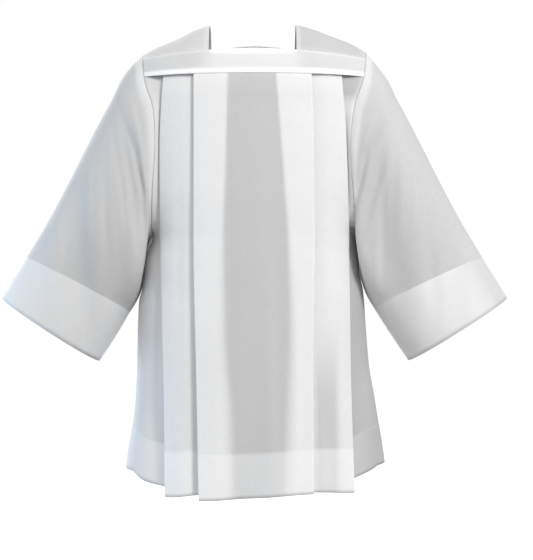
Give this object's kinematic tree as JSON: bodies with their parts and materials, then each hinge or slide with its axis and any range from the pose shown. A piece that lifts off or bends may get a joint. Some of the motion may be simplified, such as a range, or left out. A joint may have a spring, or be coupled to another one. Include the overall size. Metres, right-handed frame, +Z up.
{
  "type": "surplice",
  "caption": "White surplice worn on a general figure, with a square neck, a yoke, outward knife pleats in front and behind, and wide open sleeves with deep hems.",
  "frame": {"origin": "level of the shoulder tops at the neck, midway between them, where the wearer holds the garment up", "axes": "+X to the wearer's left, across the sleeves; -Y to the front; +Z up"},
  "size_m": [1.007, 0.3147, 0.9285],
  "materials": {
    "cloth": "plain weave, matt, slightly sheer",
    "yoke_cloth": "plain weave, two layers, pressed",
    "sleeve_cloth": "plain weave, matt, slightly sheer"
  },
  "bodies": {
    "root": {"front_panel": "cloth", "back_panel": "cloth", "front_yoke": "yoke_cloth", "back_yoke": "yoke_cloth", "shoulder_right": "cloth", "shoulder_left": "cloth", "sleeve_right": "sleeve_cloth", "sleeve_left": "sleeve_cloth"}
  },
  "joints": []
}
